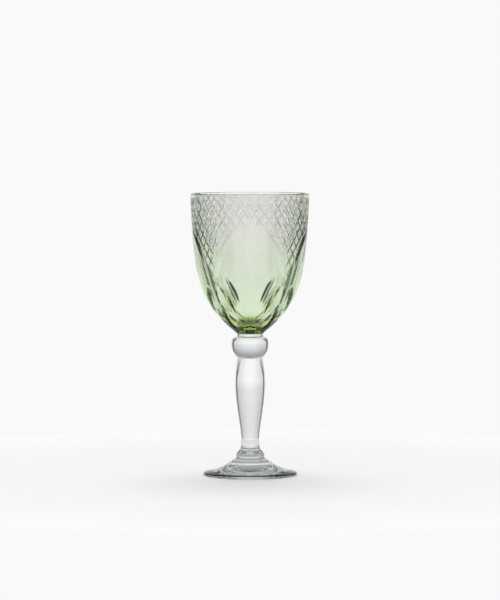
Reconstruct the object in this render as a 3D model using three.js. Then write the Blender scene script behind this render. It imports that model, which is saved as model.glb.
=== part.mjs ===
// A footed wine glass, 190 mm tall: a green pressed bowl fused onto a clear stem that is built up
// from a neck wafer, a knop, a baluster, two collar rings and a spreading foot.
// Millimetres, +Z up, origin at the middle of the foot's resting ring.
// Every piece is a body of revolution about Z. Neighbours meet face to face on flat round seats.

import * as THREE from 'three';

// ---- driving dimensions -------------------------------------------------------------------------

const HEIGHT = 189.8;
const RIM_RADIUS = 40.0;
const WALL = 2.2;

// seats where one piece is fused to the next, from the table up
const FOOT_TOP = 9.2;
const FLANGE_TOP = 12.4;
const COLLAR_TOP = 18.6;
const STEM_TOP = 79.1;
const KNOP_TOP = 93.2;
const NECK_TOP = 95.6;

// radii of those seats
const FLANGE_SEAT_RADIUS = 12.5;
const COLLAR_SEAT_RADIUS = 9.0;
const STEM_SEAT_RADIUS = 5.9;
const KNOP_SEAT_RADIUS = 8.5;
const NECK_SEAT_RADIUS = 9.0;

const BOWL_FLOOR = 103.4;

const FOOT_RADIUS = 31.6;
const FOOT_EDGE_THICKNESS = 2.2;
const FOOT_RING_WIDTH = 4.6;
const FOOT_HOLLOW_DEPTH = 2.4;

const FLANGE_RADIUS = 12.7;
const COLLAR_RADIUS = 9.5;
const STEM_WAIST_RADIUS = 5.95;
const STEM_BEAD_RADIUS = 6.35;
const BALUSTER_RADIUS = 10.2;
const KNOP_RADIUS = 12.7;

const BOWL_SEGMENTS = 72;
const FOOT_SEGMENTS = 64;
const STEM_SEGMENTS = 48;

// ---- outlines -----------------------------------------------------------------------------------

// An outline is drawn in the (radius, height) plane from its lowest point on the axis to its
// highest one, up the outside. Each stretch is given by its points: two for a line and four for
// a cubic curve, and starts where the last one ended.
function outline(start, ...stretches) {
  const points = [new THREE.Vector2(...start)];
  for (const { to, by, steps } of stretches) {
    const from = points[points.length - 1].clone();
    const end = new THREE.Vector2(...to);
    if (!by) {
      points.push(end);
      continue;
    }
    const [first, second] = by.map((handle) => new THREE.Vector2(...handle));
    const curve = new THREE.CubicBezierCurve(from, first, second, end);
    points.push(...curve.getPoints(steps).slice(1));
  }
  return points;
}

const line = (to) => ({ to });

const curve = (firstHandle, secondHandle, to, steps) => ({ to, by: [firstHandle, secondHandle], steps });

// A quarter round of the given radii between two points, as a cubic curve: it leaves `from`
// along one axis and reaches `to` along the other.
const ROUND = 0.5523;

function quarterRound(from, to, leavesAlongRadius, steps) {
  const [r0, z0] = from;
  const [r1, z1] = to;
  const dr = (r1 - r0) * ROUND;
  const dz = (z1 - z0) * ROUND;
  if (leavesAlongRadius) {
    return curve([r0 + dr, z0], [r1, z1 - dz], to, steps);
  }
  return curve([r0, z0 + dz], [r1 - dr, z1], to, steps);
}

// ---- the outline of each piece ------------------------------------------------------------------

// The foot stands on a flat ring. Inside the ring its underside is a shallow dome, and its top
// sweeps from a thin rounded edge up to the seat of the flange.
function footOutline() {
  const edgeRound = FOOT_EDGE_THICKNESS / 2;
  const ringOuter = FOOT_RADIUS - edgeRound;
  const ringInner = ringOuter - FOOT_RING_WIDTH;
  return outline(
    [0, FOOT_HOLLOW_DEPTH],
    curve([ringInner * 0.5, FOOT_HOLLOW_DEPTH], [ringInner * 0.82, 0.4], [ringInner, 0], 5),
    line([ringOuter, 0]),
    quarterRound([ringOuter, 0], [FOOT_RADIUS, edgeRound], true, 2),
    quarterRound([FOOT_RADIUS, edgeRound], [ringOuter - 0.4, FOOT_EDGE_THICKNESS + 0.2], false, 2),
    curve([25, 3.7], [18, 5.4], [14.2, 8.9], 7),
    curve([13.9, 9.2], [13.2, FOOT_TOP], [FLANGE_SEAT_RADIUS, FOOT_TOP], 2),
    line([0, FOOT_TOP]),
  );
}

// The flange is a thin disc that hollows in to the foot of the collar above it.
function flangeOutline() {
  const edgeTop = FOOT_TOP + 1.2;
  return outline(
    [0, FOOT_TOP],
    line([FLANGE_SEAT_RADIUS, FOOT_TOP]),
    curve([FLANGE_RADIUS, FOOT_TOP], [FLANGE_RADIUS, edgeTop], [FLANGE_RADIUS - 0.7, edgeTop], 4),
    curve([10.6, edgeTop + 0.3], [9.9, FLANGE_TOP - 1.0], [COLLAR_SEAT_RADIUS + 0.35, FLANGE_TOP], 4),
    line([0, FLANGE_TOP]),
  );
}

// The collar is a bell-shaped ring, widest near its foot and drawn in to the stem.
function collarOutline() {
  const widest = FLANGE_TOP + 1.1;
  return outline(
    [0, FLANGE_TOP],
    line([COLLAR_SEAT_RADIUS, FLANGE_TOP]),
    curve([COLLAR_RADIUS, FLANGE_TOP + 0.2], [COLLAR_RADIUS, FLANGE_TOP + 0.6], [COLLAR_RADIUS, widest], 3),
    curve([COLLAR_RADIUS, widest + 2.0], [7.0, widest + 3.0], [STEM_SEAT_RADIUS + 0.6, COLLAR_TOP], 6),
    line([0, COLLAR_TOP]),
  );
}

// The stem is a long baluster: a small bead, a slim waist and a full shoulder under the knop.
function stemOutline() {
  const beadHeight = COLLAR_TOP + 2.0;
  const waistHeight = 24.2;
  const shoulderHeight = 63.0;
  return outline(
    [0, COLLAR_TOP],
    line([STEM_SEAT_RADIUS, COLLAR_TOP]),
    curve([STEM_BEAD_RADIUS, COLLAR_TOP + 0.4], [STEM_BEAD_RADIUS, COLLAR_TOP + 1.2],
      [STEM_BEAD_RADIUS, beadHeight], 3),
    curve([STEM_BEAD_RADIUS, beadHeight + 1.4], [STEM_WAIST_RADIUS, waistHeight - 1.6],
      [STEM_WAIST_RADIUS, waistHeight], 3),
    curve([6.35, 33], [BALUSTER_RADIUS, 49], [BALUSTER_RADIUS, shoulderHeight], 10),
    curve([BALUSTER_RADIUS, 69], [9.1, 76.4], [KNOP_SEAT_RADIUS, STEM_TOP], 6),
    line([0, STEM_TOP]),
  );
}

// The knop is a flattened ball with a square shoulder on top.
function knopOutline() {
  const widest = 88.2;
  return outline(
    [0, STEM_TOP],
    line([KNOP_SEAT_RADIUS, STEM_TOP]),
    curve([10.9, 82.2], [KNOP_RADIUS, 84.6], [KNOP_RADIUS, widest], 7),
    curve([KNOP_RADIUS, 91.4], [11.7, 93.0], [NECK_SEAT_RADIUS, KNOP_TOP], 6),
    line([0, KNOP_TOP]),
  );
}

// The neck is the short waisted wafer that carries the bowl.
function neckOutline() {
  const waist = NECK_SEAT_RADIUS - 0.3;
  return outline(
    [0, KNOP_TOP],
    line([NECK_SEAT_RADIUS, KNOP_TOP]),
    curve([waist, KNOP_TOP + 0.7], [waist, NECK_TOP - 0.7], [NECK_SEAT_RADIUS, NECK_TOP], 4),
    line([0, NECK_TOP]),
  );
}

// The bowl rises from the neck, out and then nearly straight up to a rounded rim, and comes back
// down its hollow to a thick floor.
function bowlOutline() {
  const lip = WALL / 2;
  const lipHeight = HEIGHT - lip;
  return outline(
    [0, NECK_TOP],
    line([NECK_SEAT_RADIUS, NECK_TOP]),
    curve([33.9, 116.0], [37.8, 129.2], [RIM_RADIUS, lipHeight], 18),
    quarterRound([RIM_RADIUS, lipHeight], [RIM_RADIUS - lip, HEIGHT], false, 2),
    quarterRound([RIM_RADIUS - lip, HEIGHT], [RIM_RADIUS - WALL, lipHeight], true, 2),
    curve([35.2, 138], [22, BOWL_FLOOR], [0, BOWL_FLOOR], 16),
  );
}

// ---- glass --------------------------------------------------------------------------------------

const greenGlass = () => new THREE.MeshStandardMaterial({
  color: new THREE.Color(0.42, 0.62, 0.36),
  roughness: 0.04,
  metalness: 0,
});

const clearGlass = () => new THREE.MeshStandardMaterial({
  color: new THREE.Color(0.86, 0.9, 0.9),
  roughness: 0.03,
  metalness: 0,
});

// ---- pieces -------------------------------------------------------------------------------------

// LatheGeometry turns its points about Y, so the turned piece is stood up along Z.
function turned(name, points, segments, material) {
  const geometry = new THREE.LatheGeometry(points, segments);
  geometry.rotateX(Math.PI / 2);
  const mesh = new THREE.Mesh(geometry, material);
  mesh.name = name;
  return mesh;
}

const wineGlass = new THREE.Group();
wineGlass.add(
  turned('foot', footOutline(), FOOT_SEGMENTS, clearGlass()),
  turned('foot_flange', flangeOutline(), STEM_SEGMENTS, clearGlass()),
  turned('stem_collar', collarOutline(), STEM_SEGMENTS, clearGlass()),
  turned('baluster_stem', stemOutline(), STEM_SEGMENTS, clearGlass()),
  turned('knop', knopOutline(), STEM_SEGMENTS, clearGlass()),
  turned('neck_wafer', neckOutline(), STEM_SEGMENTS, clearGlass()),
  turned('bowl', bowlOutline(), BOWL_SEGMENTS, greenGlass()),
);

export default wineGlass;
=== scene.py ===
"""A green and clear wine glass on a pale table: the looks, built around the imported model.

Heights and radii are in millimetres here and become metres when a mesh is made. An angle is
counted round the glass from the side that faces the camera (-Y), positive towards +X.
"""
import math

import bmesh
import bpy
import numpy as np
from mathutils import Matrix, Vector


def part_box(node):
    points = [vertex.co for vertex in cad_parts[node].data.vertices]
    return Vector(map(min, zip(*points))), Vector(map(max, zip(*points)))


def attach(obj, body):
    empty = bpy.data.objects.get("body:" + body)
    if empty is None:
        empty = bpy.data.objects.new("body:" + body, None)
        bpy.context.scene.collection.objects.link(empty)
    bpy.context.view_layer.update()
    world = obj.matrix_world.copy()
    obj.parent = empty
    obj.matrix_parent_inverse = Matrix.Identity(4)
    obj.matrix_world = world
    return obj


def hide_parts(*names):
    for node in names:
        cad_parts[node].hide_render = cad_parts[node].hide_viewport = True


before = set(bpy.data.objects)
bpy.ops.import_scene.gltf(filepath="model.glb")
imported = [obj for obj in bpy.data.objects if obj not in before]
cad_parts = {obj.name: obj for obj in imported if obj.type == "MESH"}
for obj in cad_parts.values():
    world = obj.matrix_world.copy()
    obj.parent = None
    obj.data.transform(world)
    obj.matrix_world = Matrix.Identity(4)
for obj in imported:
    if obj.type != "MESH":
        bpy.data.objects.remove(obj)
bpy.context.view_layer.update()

MM = 0.001

# ---- where the pieces meet, from the frame ------------------------------------------------------


def top_of(node):
    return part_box(node)[1].z / MM


def radius_of(node):
    low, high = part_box(node)
    return (high.x - low.x) / 2 / MM


FOOT_TOP = top_of("foot")
FLANGE_TOP = top_of("foot_flange")
COLLAR_TOP = top_of("stem_collar")
STEM_TOP = top_of("baluster_stem")
KNOP_TOP = top_of("knop")
NECK_TOP = top_of("neck_wafer")
HEIGHT = top_of("bowl")

FOOT_RADIUS = radius_of("foot")
FLANGE_RADIUS = radius_of("foot_flange")
COLLAR_RADIUS = radius_of("stem_collar")
BALUSTER_RADIUS = radius_of("baluster_stem")
KNOP_RADIUS = radius_of("knop")
RIM_RADIUS = radius_of("bowl")

# radii of the fused seats and of the narrow places between them
FLANGE_SEAT_RADIUS = 12.5
COLLAR_SEAT_RADIUS = 9.0
STEM_SEAT_RADIUS = 5.9
STEM_BEAD_RADIUS = 6.35
STEM_WAIST_RADIUS = 5.95
KNOP_SEAT_RADIUS = 8.5
NECK_SEAT_RADIUS = 9.0
SEAT_GAP = 0.05  # keeps two kinds of glass off one shared surface

# ---- outlines in the (radius, height) plane -----------------------------------------------------

ROUND = 0.5523  # handle length of a cubic that draws a quarter round


def curve(first, second, to, steps):
    """A cubic stretch from wherever the outline is to `to`."""
    return {"first": first, "second": second, "to": to, "steps": steps}


def line(to, steps=1):
    return {"to": to, "steps": steps}


def quarter_round(start, to, leaves_along_radius, steps):
    dr = (to[0] - start[0]) * ROUND
    dz = (to[1] - start[1]) * ROUND
    if leaves_along_radius:
        return curve((start[0] + dr, start[1]), (to[0], to[1] - dz), to, steps)
    return curve((start[0], start[1] + dz), (to[0] - dr, to[1]), to, steps)


def outline(start, *stretches):
    """The points of an outline, from its lowest one on the axis to its highest one."""
    points = [np.array(start, float)]
    for stretch in stretches:
        t = np.linspace(0, 1, stretch["steps"] + 1)[1:, None]
        begin, end = points[-1], np.array(stretch["to"], float)
        if "first" in stretch:
            first, second = np.array(stretch["first"]), np.array(stretch["second"])
            run = (1 - t) ** 3 * begin + 3 * (1 - t) ** 2 * t * first
            run = run + 3 * (1 - t) * t ** 2 * second + t ** 3 * end
        else:
            run = begin + (end - begin) * t
        points.extend(run)
    return np.array(points)


# ---- meshes -------------------------------------------------------------------------------------


def folded_edges(mesh, angle):
    """Which edges of a closed mesh are folded by more than this angle."""
    bent = bmesh.new()
    bent.from_mesh(mesh)
    folds = [abs(edge.calc_face_angle(0.0)) > angle for edge in bent.edges]
    bent.free()
    return np.array(folds)


def revolve(name, points, segments, relief=None, sharp_rings=()):
    """Turns an outline about Z into one closed mesh. The first and last points lie on the axis.
    relief gives, for every ring and angle, how far the surface stands out along its normal, and
    how deep it is cut, which the vertices keep as the attribute "cut" for the painted shade in the
    cuts."""
    rings = points[1:-1]
    count = len(rings)
    slope = np.gradient(rings, axis=0)
    slope /= np.linalg.norm(slope, axis=1)[:, None]
    normals = np.stack([slope[:, 1], -slope[:, 0]], axis=1)
    angles = np.arange(segments) * 2 * math.pi / segments
    out = cut = np.zeros((count, segments))
    if relief is not None:
        out, cut = relief(rings, angles)
    radius = rings[:, :1] + normals[:, :1] * out
    height = rings[:, 1:] + normals[:, 1:] * out
    shell = np.stack([radius * np.sin(angles), -radius * np.cos(angles), height], axis=2)
    ends = np.array([[0, 0, points[0][1]], [0, 0, points[-1][1]]])
    vertices = np.concatenate([shell.reshape(-1, 3), ends]) * MM

    here = np.arange(segments)
    beside = (here + 1) % segments
    low = (np.arange(count - 1) * segments)[:, None]
    a, b = low + here, low + beside
    c, d = b + segments, a + segments
    faces = []
    if relief is None:
        faces += np.stack([a, b, c, d], axis=-1).reshape(-1, 4).tolist()
    else:
        # a fold of the relief runs along the diagonal whose ends stand out most alike
        flat = out.reshape(-1)
        rising = np.abs(flat[a] - flat[c]) <= np.abs(flat[b] - flat[d])
        first = np.where(rising[..., None], np.stack([a, b, c], -1), np.stack([a, b, d], -1))
        second = np.where(rising[..., None], np.stack([a, c, d], -1), np.stack([b, c, d], -1))
        faces += first.reshape(-1, 3).tolist() + second.reshape(-1, 3).tolist()
    bottom, top = count * segments, count * segments + 1
    last = (count - 1) * segments
    faces += [(bottom, k, j) for j, k in zip(here.tolist(), beside.tolist())]
    faces += [(top, last + j, last + k) for j, k in zip(here.tolist(), beside.tolist())]

    mesh = bpy.data.meshes.new(name)
    mesh.from_pydata(vertices.tolist(), [], faces)
    mesh.shade_smooth()
    if relief is not None:
        depth = mesh.attributes.new("cut", "FLOAT", "POINT")
        depth.data.foreach_set("value", np.concatenate([cut.reshape(-1), [0, 0]]))
    sharp = mesh.attributes.new("sharp_edge", "BOOLEAN", "EDGE")
    edge_ends = np.zeros(len(mesh.edges) * 2, int)
    mesh.edges.foreach_get("vertices", edge_ends)
    edge_rings = edge_ends.reshape(-1, 2) // segments
    marks = np.isin(edge_rings[:, 0], sharp_rings) & (edge_rings[:, 0] == edge_rings[:, 1])
    if relief is not None:
        marks |= folded_edges(mesh, FOLD)
    sharp.data.foreach_set("value", marks)
    mesh.update()
    piece = bpy.data.objects.new(name, mesh)
    bpy.context.scene.collection.objects.link(piece)
    return piece


def seat_faces(piece, height):
    """The faces of the flat seat at this height."""
    return [f for f in piece.data.polygons
            if all(abs(piece.data.vertices[v].co.z - height * MM) < 1e-6 for v in f.vertices)]


# ---- the clear pieces ---------------------------------------------------------------------------

CLEAR_SEGMENTS = 192
NECK_STEPS = 8


def foot_points():
    edge = 1.1
    ring_outer = FOOT_RADIUS - edge
    ring_inner = ring_outer - 4.6
    hollow = 2.4
    return outline(
        (0, hollow),
        curve((ring_inner * 0.5, hollow), (ring_inner * 0.82, 0.4), (ring_inner, 0), 24),
        line((ring_outer, 0), 2),
        quarter_round((ring_outer, 0), (FOOT_RADIUS, edge), True, 6),
        quarter_round((FOOT_RADIUS, edge), (ring_outer - 0.4, 2 * edge + 0.2), False, 6),
        curve((25, 3.7), (18, 5.4), (14.2, 8.9), 28),
        curve((13.9, 9.2), (13.2, FOOT_TOP), (FLANGE_SEAT_RADIUS, FOOT_TOP), 5),
        line((0, FOOT_TOP)),
    )


def flange_points():
    edge_top = FOOT_TOP + 1.2
    return outline(
        (0, FOOT_TOP),
        line((FLANGE_SEAT_RADIUS, FOOT_TOP)),
        curve((FLANGE_RADIUS, FOOT_TOP), (FLANGE_RADIUS, edge_top),
              (FLANGE_RADIUS - 0.7, edge_top), 8),
        curve((10.6, edge_top + 0.3), (9.9, FLANGE_TOP - 1.0),
              (COLLAR_SEAT_RADIUS + 0.35, FLANGE_TOP), 10),
        line((0, FLANGE_TOP)),
    )


def collar_points():
    widest = FLANGE_TOP + 1.1
    return outline(
        (0, FLANGE_TOP),
        line((COLLAR_SEAT_RADIUS, FLANGE_TOP)),
        curve((COLLAR_RADIUS, FLANGE_TOP + 0.2), (COLLAR_RADIUS, FLANGE_TOP + 0.6),
              (COLLAR_RADIUS, widest), 6),
        curve((COLLAR_RADIUS, widest + 2.0), (7.0, widest + 3.0),
              (STEM_SEAT_RADIUS + 0.6, COLLAR_TOP), 16),
        line((0, COLLAR_TOP)),
    )


def stem_points():
    bead = COLLAR_TOP + 2.0
    waist = 24.2
    shoulder = 63.0
    return outline(
        (0, COLLAR_TOP),
        line((STEM_SEAT_RADIUS, COLLAR_TOP)),
        curve((STEM_BEAD_RADIUS, COLLAR_TOP + 0.4), (STEM_BEAD_RADIUS, COLLAR_TOP + 1.2),
              (STEM_BEAD_RADIUS, bead), 7),
        curve((STEM_BEAD_RADIUS, bead + 1.4), (STEM_WAIST_RADIUS, waist - 1.6),
              (STEM_WAIST_RADIUS, waist), 8),
        curve((6.35, 33), (BALUSTER_RADIUS, 49), (BALUSTER_RADIUS, shoulder), 48),
        curve((BALUSTER_RADIUS, 69), (9.1, 76.4), (KNOP_SEAT_RADIUS, STEM_TOP), 28),
        line((0, STEM_TOP)),
    )


def knop_points():
    widest = 88.2
    return outline(
        (0, STEM_TOP),
        line((KNOP_SEAT_RADIUS, STEM_TOP)),
        curve((10.9, 82.2), (KNOP_RADIUS, 84.6), (KNOP_RADIUS, widest), 26),
        curve((KNOP_RADIUS, 91.4), (11.7, 93.0), (NECK_SEAT_RADIUS, KNOP_TOP), 22),
        line((0, KNOP_TOP)),
    )


def neck_points():
    waist = NECK_SEAT_RADIUS - 0.3
    seat = KNOP_TOP + SEAT_GAP
    return outline(
        (0, seat),
        line((NECK_SEAT_RADIUS, seat)),
        curve((waist, KNOP_TOP + 0.7), (waist, NECK_TOP - 0.7),
              (NECK_SEAT_RADIUS, NECK_TOP), NECK_STEPS),
        line((0, NECK_TOP)),
    )


# ---- the bowl and its relief --------------------------------------------------------------------

BOWL_SEGMENTS = 480
BOWL_SEAT = NECK_TOP + SEAT_GAP
WALL = 2.2
BOWL_FLOOR = 103.4
FOLD = math.radians(11)  # edges that are folded by more than this stay sharp

PETALS = 4
PETAL_TOP = 169.5        # crown of the rounded arch
ARCH = 0.55              # the lower, the rounder the arch
PETAL_WIDEST = 119.0     # where neighbouring petals touch
PETAL_FOOT = 98.0
PETAL_FOOT_SHARE = 0.36  # half width at the foot, as a share of half the pitch
BEVEL_WIDTH = 3.5        # along the outline of each petal
BEVEL_SLOPE = 0.18
BEVEL_FADE = 12.0        # the bevel runs out this far below the crown

# the sunken field between the petals: at their crowns, and where they are widest
FIELD_DROP = (0.05, 1.1)
FIELD_SLOPE = (0.3, 1.2)
# the hollow leaves between the feet of the petals
LEAF_DROP = 2.2
LEAF_SLOPE = 1.2

# lens-shaped facets along the lower sides of each petal: degrees from its middle, and heights
FACET_TOP = (38.0, 128.5)
FACET_FOOT = (23.0, 110.0)
FACET_WIDTH = 1.15
FACET_SLOPE = 1.8
FACET_RETURN = 4.0

# flutes that fan out from the foot of the bowl between the facets
FLUTES = 28
FLUTE_DEPTH = 0.5
FLUTE_CREST = 0.7        # share of the depth that stands out
FLUTE_MARGIN = 2.5       # they start this far inside the facets
FLUTE_FADE = 3.0
FLUTE_TOP = 118.0
FLUTE_FULL = 102.0
FLUTE_JOIN = 106.0       # below this height they start to run all round
FLUTE_JOIN_FADE = 6.0

DIAMONDS = 40
DIAMOND_ROWS = 12        # rings of the mesh to each diamond's height
DIAMOND_HEIGHT = 8.9
GROOVE_STEPS = 2         # half width of a groove, in those rings
GROOVE_DEPTH = 0.31
GROOVE_LEAST = 0.4       # share of the depth that is left beside a petal
LATTICE_TOP = 187.0
LATTICE_FADE = 7.0

RELIEF_FADE = 1.5        # the relief comes in over this height above the neck
# how much each part of the relief counts towards the painted shade in the cuts, and the depth that
# gets the full painted shade
BEVEL_SHADE_SHARE = 1.5
FIELD_SHADE_SHARE = 0.6
FULL_SHADE_DEPTH = 3.0

FOOT_RINGS = 75          # rings of the mesh below the lattice
OUTLINE_SAMPLES = 2000


def bowl_points():
    """Outside, the rings lie a twelfth of a diamond apart, so that the grooves fall on them."""
    lip = WALL / 2
    lip_height = HEIGHT - lip
    wall = outline(
        (NECK_SEAT_RADIUS, BOWL_SEAT),
        curve((33.9, 116.0), (37.8, 129.2), (RIM_RADIUS, lip_height), OUTLINE_SAMPLES),
    )
    row = DIAMOND_HEIGHT / DIAMOND_ROWS
    count = int((lip_height - PETAL_WIDEST) / row)
    upper = HEIGHT - np.arange(count + 2, 1, -1) * row
    run = np.concatenate([[0], np.cumsum(np.hypot(*np.diff(wall, axis=0).T))])
    lower_run = np.linspace(0, np.interp(upper[0], wall[:, 1], run), FOOT_RINGS + 1)[:-1]
    lower = np.interp(lower_run, run, wall[:, 1])
    heights = np.concatenate([lower, upper[upper < lip_height - 0.2], [lip_height]])
    outside = np.stack([np.interp(heights, wall[:, 1], wall[:, 0]), heights], axis=1)
    inside = outline(
        (RIM_RADIUS, lip_height),
        quarter_round((RIM_RADIUS, lip_height), (RIM_RADIUS - lip, HEIGHT), False, 3),
        quarter_round((RIM_RADIUS - lip, HEIGHT), (RIM_RADIUS - WALL, lip_height), True, 3),
        curve((35.2, 138), (22.0, BOWL_FLOOR), (0, BOWL_FLOOR), 24),
    )
    return np.concatenate([[[0, BOWL_SEAT]], outside, inside[1:]])


def smooth_step(x):
    x = np.clip(x, 0, 1)
    return x * x * (3 - 2 * x)


def petal_half_width(height):
    """Half the angle that a petal takes up at this height."""
    half_pitch = math.pi / PETALS
    up = np.clip((PETAL_TOP - height) / (PETAL_TOP - PETAL_WIDEST), 0, 1)
    down = np.clip((PETAL_WIDEST - height) / (PETAL_WIDEST - PETAL_FOOT), 0, 1)
    arch = np.sin(up * math.pi / 2) ** ARCH
    taper = 1 - (1 - PETAL_FOOT_SHARE) * down ** 1.6
    return half_pitch * np.where(height > PETAL_WIDEST, arch, taper)


def between(pair, share):
    return pair[0] + (pair[1] - pair[0]) * share


def bowl_relief(rings, angles):
    """Petals below, a diamond lattice above and between them, on the outside only. Returns how far
    the surface stands out and how deep it is cut, from 0 to 1, which sets the painted shade in the
    cuts."""
    outside = np.arange(len(rings)) <= np.argmax(rings[:, 1] >= HEIGHT - WALL / 2)
    radius, height = rings[:, :1], rings[:, 1:]
    half_pitch = math.pi / PETALS
    turn = np.abs((angles + half_pitch) % (2 * half_pitch) - half_pitch)[None, :]
    steps = np.hypot(np.diff(radius[:, 0]), np.diff(height[:, 0]))
    run = np.concatenate([[0], np.cumsum(steps)])[:, None]

    # distance from the outline of the nearest petal, positive inside it
    half_width = petal_half_width(height)
    spread = np.gradient(half_width[:, 0], run[:, 0]) * radius[:, 0]
    lean = 1 / np.hypot(1, spread)
    inside = (half_width - turn) * radius * lean[:, None]
    above_crown = -np.hypot(turn * radius, height - PETAL_TOP)
    inside = np.where(height > PETAL_TOP, above_crown, inside)

    # the facets, measured on the surface laid flat
    def laid_flat(degrees, at_height):
        k = np.argmin(np.abs(height[:, 0] - at_height) + 1e3 * ~outside)
        return np.array([math.radians(degrees) * radius[k, 0], run[k, 0]])

    top, foot = laid_flat(*FACET_TOP), laid_flat(*FACET_FOOT)
    length = np.linalg.norm(foot - top)
    along = (foot - top) / length
    east, north = turn * radius - top[0], run - top[1]
    t = (east * along[0] + north * along[1]) / length
    inward = east * along[1] - north * along[0]
    width = FACET_WIDTH * np.clip(1 - (2 * t - 1) ** 2, 0, 1)
    ramp = np.clip(inward, 0, width) - width * smooth_step((inward - width) / FACET_RETURN)
    facet = -FACET_SLOPE * ramp

    # the lattice in its sunken field
    across = angles[None, :] * DIAMONDS / (2 * math.pi)
    rows = (HEIGHT - height) / DIAMOND_HEIGHT
    first = np.abs((across + rows + 0.5) % 1 - 0.5)
    second = np.abs((across - rows + 0.5) % 1 - 0.5)
    from_groove = np.minimum(first, second) * DIAMOND_ROWS
    groove = -GROOVE_DEPTH * np.clip(1 - from_groove / GROOVE_STEPS, 0, 1)
    groove = groove * between((GROOVE_LEAST, 1), smooth_step(-inside / LATTICE_FADE))
    depth = np.clip((PETAL_TOP - height) / (PETAL_TOP - PETAL_WIDEST), 0, 1)
    drop = between(FIELD_DROP, depth)
    beyond = np.clip(-inside * between(FIELD_SLOPE, depth) / drop, 0, 1)
    beyond = beyond * smooth_step(LATTICE_TOP - height)
    field = (groove - drop) * beyond * (height > PETAL_WIDEST)
    leaf = -np.clip(-inside * LEAF_SLOPE, 0, LEAF_DROP) * (height <= PETAL_WIDEST)

    # the flutes and the bevel along the petals
    flute_height = smooth_step((FLUTE_TOP - height) / (FLUTE_TOP - FLUTE_FULL))
    from_facet = (inward - width - FLUTE_MARGIN) / FLUTE_FADE
    flute_share = smooth_step(from_facet + (FLUTE_JOIN - height) / FLUTE_JOIN_FADE)
    wave = np.abs(np.cos(angles * FLUTES / 2))[None, :]
    flutes = FLUTE_DEPTH * (FLUTE_CREST - wave) * flute_height * flute_share
    bevel_share = smooth_step((PETAL_TOP - height) / BEVEL_FADE)
    inner_bevel = np.clip(BEVEL_WIDTH - np.abs(inside), 0, BEVEL_WIDTH)
    outer_bevel = BEVEL_WIDTH * (1 - beyond)
    bevel = -BEVEL_SLOPE * bevel_share * np.where(inside < 0, outer_bevel, inner_bevel)

    fade = smooth_step((height - NECK_TOP) / RELIEF_FADE)
    out = np.where(outside[:, None], (facet + field + leaf + flutes + bevel) * fade, 0)
    # how much painted shade each vertex gets in the cuts, from 0 to 1
    sunk = -(facet + leaf + BEVEL_SHADE_SHARE * bevel + FIELD_SHADE_SHARE * field)
    deep = np.clip(sunk, 0, FULL_SHADE_DEPTH) / FULL_SHADE_DEPTH
    return out, np.where(outside[:, None], deep, 0)


# ---- glass --------------------------------------------------------------------------------------

CUT_SHADE_COLOUR = (0.62, 0.72, 0.14)   # painted shade: the dark olive that the glass is given where it is cut deepest
BASE_SHADE_HEIGHTS = (0.097, 0.107)  # metres: the same painted shade darkens the solid base of the bowl, below these heights
STREAK_LOSS = 0.05
MOST_ROUGH = 0.03
RIPPLE = 0.00012             # metres

# noise cells per metre
STREAK_SCALE = 140
ROUGH_SCALE = 420
RIPPLE_SCALE = 90
STREAK_STRETCH = (1.0, 1.0, 0.35)

# painted shade: the green glass goes from nearly white below to darker and greyer at the top
GREEN_LOW, GREEN_HIGH = (0.99, 1.0, 1.0), (0.87, 0.85, 0.875)
GREEN_CHANGE = (0.10, 0.17)  # metres: from the low colour to the darker, greyer high one, a painted shade
GREEN_ABSORPTION = (0.71, 0.81, 0.58)
GREEN_DENSITY = 100.0
# painted shade: the clear glass stays nearly white in the foot and goes darker grey above it
CLEAR_LOW, CLEAR_HIGH = (0.98, 0.985, 0.99), (0.82, 0.82, 0.822)
CLEAR_CHANGE = (0.008, 0.02)
CLEAR_ABSORPTION = (0.80, 0.92, 0.90)
CLEAR_DENSITY = 4.0
NECK_TINT = (0.93, 0.95, 0.93)
NECK_DENSITY = 40.0


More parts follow.
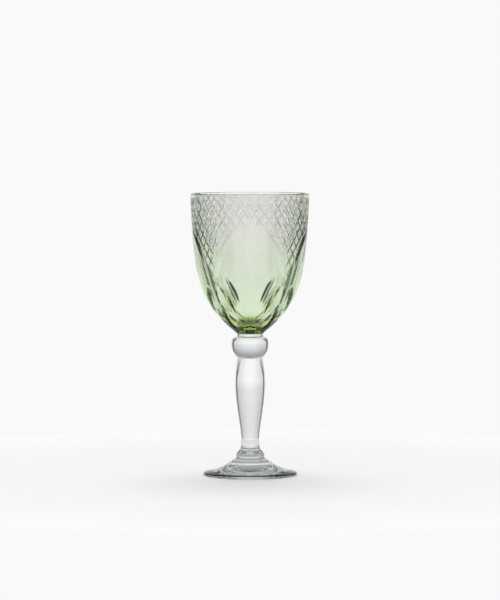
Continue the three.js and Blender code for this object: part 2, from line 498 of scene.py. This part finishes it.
def glass(name, low_tint, high_tint, change, cut_shade, absorption, density):
    """Pressed glass: a colour that goes darker and greyer between two heights as painted shade,
    painted shade in the cuts if one is given, faint streaks, patches that are a little rough, and a
    surface that is not quite even."""
    material = bpy.data.materials.new(name)
    material.use_nodes = True
    nodes, links = material.node_tree.nodes, material.node_tree.links
    shader = nodes["Principled BSDF"]
    shader.inputs["IOR"].default_value = 1.5
    shader.inputs["Transmission Weight"].default_value = 1.0
    place = nodes.new("ShaderNodeTexCoord")
    stretched = nodes.new("ShaderNodeMapping")
    stretched.inputs["Scale"].default_value = STREAK_STRETCH
    links.new(place.outputs["Object"], stretched.inputs["Vector"])

    def mapped(value, low, high, to_low, to_high):
        node = nodes.new("ShaderNodeMapRange")
        node.interpolation_type = "SMOOTHSTEP"
        node.inputs["From Min"].default_value = low
        node.inputs["From Max"].default_value = high
        node.inputs["To Min"].default_value = to_low
        node.inputs["To Max"].default_value = to_high
        links.new(value, node.inputs["Value"])
        return node.outputs["Result"]

    def mixed(factor, first, second):
        node = nodes.new("ShaderNodeMix")
        node.data_type = "RGBA"
        links.new(factor, node.inputs["Factor"])
        for socket, colour in zip((node.inputs["A"], node.inputs["B"]), (first, second)):
            if isinstance(colour, tuple):
                socket.default_value = (*colour, 1)
            else:
                links.new(colour, socket)
        return node.outputs["Result"]

    def noise(scale, detail):
        node = nodes.new("ShaderNodeTexNoise")
        node.inputs["Scale"].default_value = scale
        node.inputs["Detail"].default_value = detail
        links.new(stretched.outputs["Vector"], node.inputs["Vector"])
        return node.outputs["Fac"]

    split = nodes.new("ShaderNodeSeparateXYZ")
    links.new(place.outputs["Object"], split.inputs["Vector"])

    # painted shade: darker and greyer above the given heights
    tint = mixed(mapped(split.outputs["Z"], *change, 0, 1), low_tint, high_tint)
    if cut_shade:
        # painted shade: towards a dark olive where the cuts are deep and in the solid base of the
        # bowl
        cut = nodes.new("ShaderNodeAttribute")
        cut.attribute_name = "cut"
        deepest = nodes.new("ShaderNodeMath")
        deepest.operation = "MAXIMUM"
        links.new(cut.outputs["Fac"], deepest.inputs[0])
        links.new(mapped(split.outputs["Z"], *BASE_SHADE_HEIGHTS, 1, 0), deepest.inputs[1])
        tint = mixed(deepest.outputs["Value"], tint, cut_shade)
    streaks = mapped(noise(STREAK_SCALE, 3), 0.35, 0.75, 0, STREAK_LOSS)
    links.new(mixed(streaks, tint, (0.0, 0.0, 0.0)), shader.inputs["Base Color"])
    rough = mapped(noise(ROUGH_SCALE, 2), 0.5, 0.8, 0, MOST_ROUGH)
    links.new(rough, shader.inputs["Roughness"])

    bump = nodes.new("ShaderNodeBump")
    bump.inputs["Strength"].default_value = 1.0
    bump.inputs["Distance"].default_value = RIPPLE
    links.new(noise(RIPPLE_SCALE, 1), bump.inputs["Height"])
    links.new(bump.outputs["Normal"], shader.inputs["Normal"])

    volume = nodes.new("ShaderNodeVolumeAbsorption")
    volume.inputs["Color"].default_value = (*absorption, 1)
    volume.inputs["Density"].default_value = density
    links.new(volume.outputs["Volume"], nodes["Material Output"].inputs["Volume"])
    return material


def fused_seat():
    """The face where two clear pieces were joined hot: there is nothing there to see."""
    material = bpy.data.materials.new("fused_seat")
    material.use_nodes = True
    shader = material.node_tree.nodes["Principled BSDF"]
    shader.inputs["Base Color"].default_value = (1, 1, 1, 1)
    shader.inputs["Alpha"].default_value = 0.0
    return material


# ---- assembly -----------------------------------------------------------------------------------

green_glass = glass("green_glass", GREEN_LOW, GREEN_HIGH, GREEN_CHANGE, CUT_SHADE_COLOUR,
                    GREEN_ABSORPTION, GREEN_DENSITY)
clear_glass = glass("clear_glass", CLEAR_LOW, CLEAR_HIGH, CLEAR_CHANGE, None,
                    CLEAR_ABSORPTION, CLEAR_DENSITY)
neck_glass = glass("pale_green_glass", NECK_TINT, NECK_TINT, GREEN_CHANGE, None,
                   GREEN_ABSORPTION, NECK_DENSITY)
seat_glass = fused_seat()

CLEAR_PIECES = (
    ("clear_foot", "foot", foot_points, (FOOT_TOP,)),
    ("clear_foot_flange", "foot_flange", flange_points, (FOOT_TOP, FLANGE_TOP)),
    ("clear_stem_collar", "stem_collar", collar_points, (FLANGE_TOP, COLLAR_TOP)),
    ("clear_baluster_stem", "baluster_stem", stem_points, (COLLAR_TOP, STEM_TOP)),
    ("clear_knop", "knop", knop_points, (STEM_TOP,)),
)

for name, node, points_of, seats in CLEAR_PIECES:
    points = points_of()
    piece = revolve(name, points, CLEAR_SEGMENTS, sharp_rings=(0, len(points) - 3))
    piece.data.materials.append(clear_glass)
    piece.data.materials.append(seat_glass)
    for seat in seats:
        for face in seat_faces(piece, seat):
            face.material_index = 1
    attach(piece, "root")
    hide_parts(node)
    piece.visible_shadow = node not in ("foot_flange", "stem_collar")

neck = revolve("pale_neck_wafer", neck_points(), CLEAR_SEGMENTS, sharp_rings=(0, NECK_STEPS + 1))
neck.data.materials.append(neck_glass)
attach(neck, "root")
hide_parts("neck_wafer")

bowl = revolve("green_bowl", bowl_points(), BOWL_SEGMENTS, relief=bowl_relief, sharp_rings=(0,))
bowl.data.materials.append(green_glass)
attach(bowl, "root")
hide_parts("bowl")

# ---- stage --------------------------------------------------------------------------------------

PAPER_WHITE = 0.947          # what the camera and the table see all round
SUN_SHARE = 0.36             # of the table's light that comes from the softbox and casts a shadow
TABLE_ALBEDO = 0.985
TABLE_RADIUS = 1.2
TABLE_FADE = (0.15, 0.35)    # the table melts into the paper-white between these radii

# what only the glass sees: levels of the table, the sweep and the dark flags
TABLE_GLOW = 1.2
BACKDROP = 0.97
FLAG = 0.14
COOL_LIGHT = (0.99, 1.0, 1.015)
SWEEP_FOOT = (-0.10, 0.0)    # heights of a direction, as its Z: from the table to the sweep
RISE = (0.02, 0.40)          # the sweep gets greyer up to here ...
RISE_LOSS = 0.45
TURN = (4, 46)               # ... and sideways, in degrees
TURN_LOSS = 0.28
FLAG_EDGE = (34, 38)         # where the side flags begin, for directions towards the table
FLAG_LIFT = (-0.30, -0.12)   # above these heights they stand further out
FLAG_SHIFT = 12              # by this many degrees
FLAG_END = (60, 66)          # where they open again, but for a tenth
FLAG_OPENING = 0.9
CEILING = 0.30
CEILING_FADE = 0.12
CEILING_FRONT = (-0.10, 0.30)
BACK_CEILING = 0.25          # how much of it is left behind the glass

SOFTBOX_ANGLE = 40
SOFTBOX_TILT = -18

CAMERA_DISTANCE = 2.2
CAMERA_HEIGHT = 0.235
CAMERA_AIM = 0.118
CAMERA_LENS = 196.7
CAMERA_ROLL = -0.1

GLASS_BOUNCES = 48
OTHER_BOUNCES = 24


def in_radians(pair):
    return math.radians(pair[0]), math.radians(pair[1])


def table():
    bpy.ops.mesh.primitive_circle_add(vertices=128, radius=TABLE_RADIUS, fill_type="NGON")
    floor = bpy.context.object
    floor.name = "table"
    material = bpy.data.materials.new("table_paper")
    material.use_nodes = True
    nodes, links = material.node_tree.nodes, material.node_tree.links
    shader = nodes["Principled BSDF"]
    shader.inputs["Base Color"].default_value = (TABLE_ALBEDO, TABLE_ALBEDO, TABLE_ALBEDO, 1)
    shader.inputs["Roughness"].default_value = 1.0
    shader.inputs["Specular IOR Level"].default_value = 0.0
    place = nodes.new("ShaderNodeTexCoord")
    distance = nodes.new("ShaderNodeVectorMath")
    distance.operation = "LENGTH"
    fade = nodes.new("ShaderNodeMapRange")
    fade.inputs["From Min"].default_value = TABLE_FADE[0]
    fade.inputs["From Max"].default_value = TABLE_FADE[1]
    fade.inputs["To Min"].default_value = 1.0
    fade.inputs["To Max"].default_value = 0.0
    fade.interpolation_type = "SMOOTHSTEP"
    links.new(place.outputs["Object"], distance.inputs[0])
    links.new(distance.outputs["Value"], fade.inputs["Value"])
    links.new(fade.outputs["Result"], shader.inputs["Alpha"])
    floor.data.materials.append(material)


def studio_world():
    """Paper-white all round for the camera and for the table. For what the glass bends and mirrors,
    dark flags stand diagonally at both sides of a white sweep and hang overhead, and the sweep gets
    greyer upwards and sideways, so that the glass gets its outlines and its soft gradients."""
    world = bpy.data.worlds.new("studio")
    bpy.context.scene.world = world
    world.use_nodes = True
    nodes, links = world.node_tree.nodes, world.node_tree.links
    nodes.clear()
    output = nodes.new("ShaderNodeOutputWorld")
    background = nodes.new("ShaderNodeBackground")
    links.new(background.outputs["Background"], output.inputs["Surface"])
    direction = nodes.new("ShaderNodeTexCoord")
    split = nodes.new("ShaderNodeSeparateXYZ")
    links.new(direction.outputs["Generated"], split.inputs["Vector"])

    def math_node(operation, a, b=None, c=None):
        node = nodes.new("ShaderNodeMath")
        node.operation = operation
        for socket, value in zip(node.inputs, (a, b, c)):
            if value is None:
                continue
            if isinstance(value, (int, float)):
                socket.default_value = value
            else:
                links.new(value, socket)
        return node.outputs["Value"]

    side = math_node("ABSOLUTE", split.outputs["X"])
    depth = math_node("ABSOLUTE", split.outputs["Y"])
    azimuth = math_node("ARCTAN2", side, depth)

    def ramp(value, low, high):
        node = nodes.new("ShaderNodeMapRange")
        node.interpolation_type = "SMOOTHSTEP"
        links.new(value, node.inputs["Value"])
        node.inputs["From Min"].default_value = low
        node.inputs["From Max"].default_value = high
        return node.outputs["Result"]

    # the flags at the sides and overhead
    lifted = ramp(split.outputs["Z"], *FLAG_LIFT)
    turned = math_node("MULTIPLY_ADD", lifted, -math.radians(FLAG_SHIFT), azimuth)
    beside = ramp(turned, *in_radians(FLAG_EDGE))
    opening = ramp(azimuth, *in_radians(FLAG_END))
    beside = math_node("MULTIPLY", beside, math_node("MULTIPLY_ADD", opening, -FLAG_OPENING, 1.0))
    above = ramp(split.outputs["Z"], CEILING, CEILING + CEILING_FADE)
    behind = ramp(split.outputs["Y"], *CEILING_FRONT)
    above = math_node("MULTIPLY", above, math_node("MULTIPLY_ADD", behind, BACK_CEILING - 1, 1.0))
    flag = math_node("MAXIMUM", beside, above)

    # the sweep
    foot = ramp(split.outputs["Z"], *SWEEP_FOOT)
    paper = math_node("MULTIPLY_ADD", foot, BACKDROP - TABLE_GLOW, TABLE_GLOW)
    rising = ramp(split.outputs["Z"], *RISE)
    turning = ramp(azimuth, *in_radians(TURN))
    paper = math_node("MULTIPLY", paper, math_node("MULTIPLY_ADD", rising, -RISE_LOSS, 1.0))
    paper = math_node("MULTIPLY", paper, math_node("MULTIPLY_ADD", turning, -TURN_LOSS, 1.0))
    shaded = math_node("SUBTRACT", FLAG, paper)
    through = math_node("MULTIPLY_ADD", flag, shaded, paper)

    # the table is lit by plain paper-white, through the glass too
    seen = nodes.new("ShaderNodeLightPath")
    bent = math_node("MAXIMUM", seen.outputs["Is Transmission Ray"], seen.outputs["Is Glossy Ray"])
    from_eye = math_node("LESS_THAN", seen.outputs["Diffuse Depth"], 0.5)
    bent = math_node("MULTIPLY", bent, from_eye)
    sun_part = -SUN_SHARE * PAPER_WHITE
    plain = math_node("MULTIPLY_ADD", seen.outputs["Is Diffuse Ray"], sun_part, PAPER_WHITE)
    difference = math_node("SUBTRACT", through, PAPER_WHITE)
    shade = math_node("MULTIPLY_ADD", difference, bent, plain)
    links.new(shade, background.inputs["Strength"])
    hue = nodes.new("ShaderNodeMix")
    hue.data_type = "RGBA"
    hue.inputs["A"].default_value = (1, 1, 1, 1)
    hue.inputs["B"].default_value = (*COOL_LIGHT, 1)
    links.new(bent, hue.inputs["Factor"])
    links.new(hue.outputs["Result"], background.inputs["Color"])


def overhead_light():
    light = bpy.data.lights.new("overhead_softbox", "SUN")
    light.energy = SUN_SHARE * PAPER_WHITE * math.pi
    light.angle = math.radians(SOFTBOX_ANGLE)
    lamp = bpy.data.objects.new("overhead_softbox", light)
    lamp.rotation_euler = (math.radians(SOFTBOX_TILT), 0, 0)
    lamp.visible_glossy = False
    lamp.visible_transmission = False
    bpy.context.scene.collection.objects.link(lamp)


def camera():
    data = bpy.data.cameras.new("camera")
    data.lens = CAMERA_LENS
    data.sensor_width = 36
    data.clip_start = 0.05
    data.clip_end = 50
    eye = bpy.data.objects.new("camera", data)
    bpy.context.scene.collection.objects.link(eye)
    eye.location = (0, -CAMERA_DISTANCE, CAMERA_HEIGHT)
    toward = Vector((0, 0, CAMERA_AIM)) - eye.location
    eye.rotation_euler = toward.to_track_quat("-Z", "Y").to_euler()
    eye.rotation_euler.rotate_axis("Z", math.radians(CAMERA_ROLL))
    bpy.context.scene.camera = eye


table()
studio_world()
overhead_light()
camera()
scene = bpy.context.scene
scene.view_settings.view_transform = "Standard"
scene.cycles.max_bounces = GLASS_BOUNCES
scene.cycles.transmission_bounces = GLASS_BOUNCES
scene.cycles.transparent_max_bounces = OTHER_BOUNCES
scene.cycles.glossy_bounces = OTHER_BOUNCES
